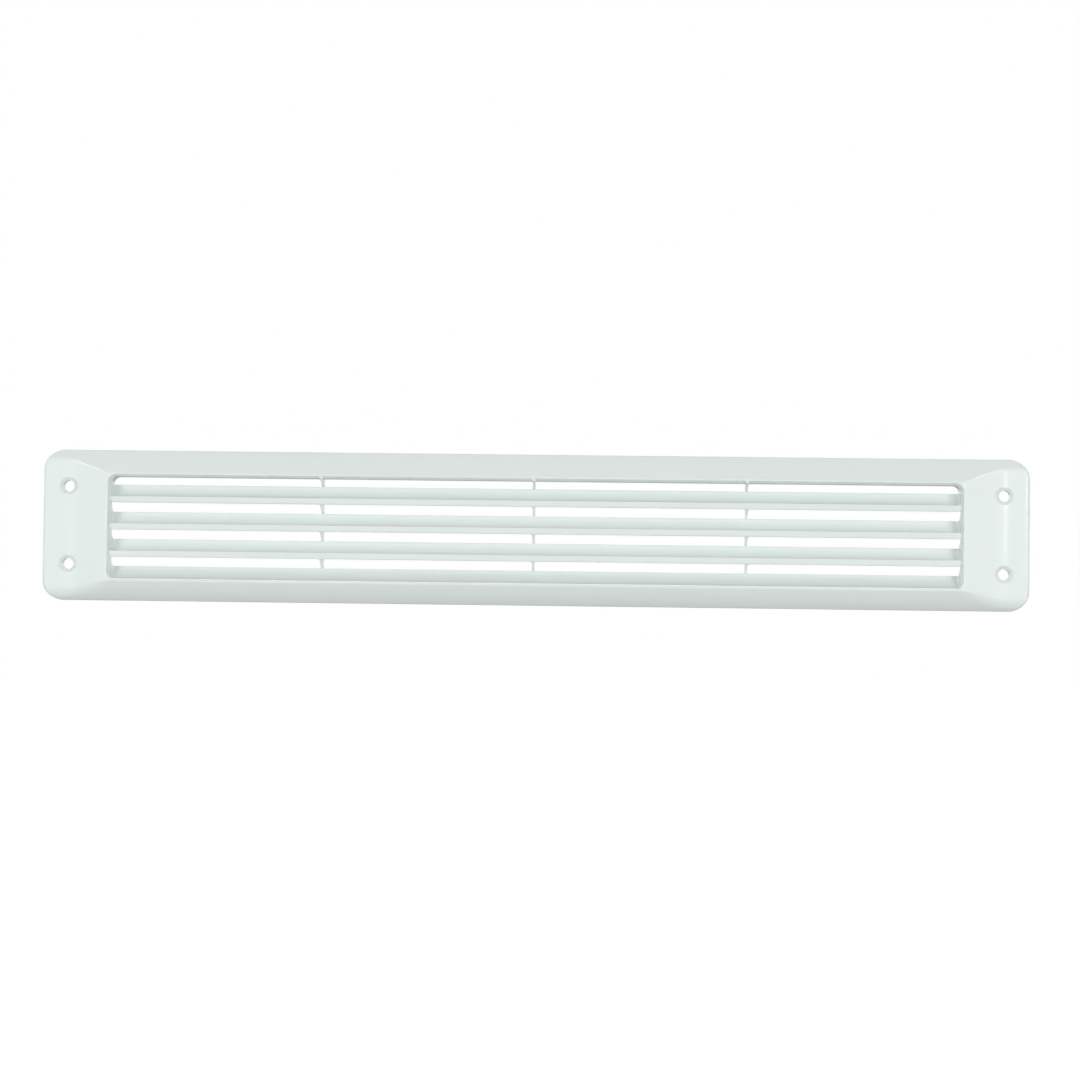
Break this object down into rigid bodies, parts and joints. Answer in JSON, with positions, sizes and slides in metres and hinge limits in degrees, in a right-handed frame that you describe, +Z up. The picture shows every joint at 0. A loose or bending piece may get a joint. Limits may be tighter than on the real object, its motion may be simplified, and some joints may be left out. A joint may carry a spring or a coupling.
{
  "type": "louvred vent cover",
  "caption": "Long rectangular wall vent cover in glossy white plastic: hooded frame, sloping lipped louvre blades, drip sill, tie ribs and countersunk screw holes at each end.",
  "frame": {"origin": "middle of the four screw holes, on the mounting plane at the back", "axes": "+X along the vent's length, +Z up the wall, +Y into the wall, so the front faces -Y"},
  "size_m": [0.43, 0.01, 0.066],
  "materials": {
    "moulded_plastic": "glossy, moulded"
  },
  "bodies": {
    "root": {"face_frame": "moulded_plastic", "louvre_blade_top": "moulded_plastic", "louvre_blade_middle": "moulded_plastic", "louvre_blade_bottom": "moulded_plastic", "sill_blade": "moulded_plastic", "rib_left": "moulded_plastic", "rib_centre": "moulded_plastic", "rib_right": "moulded_plastic"}
  },
  "joints": []
}
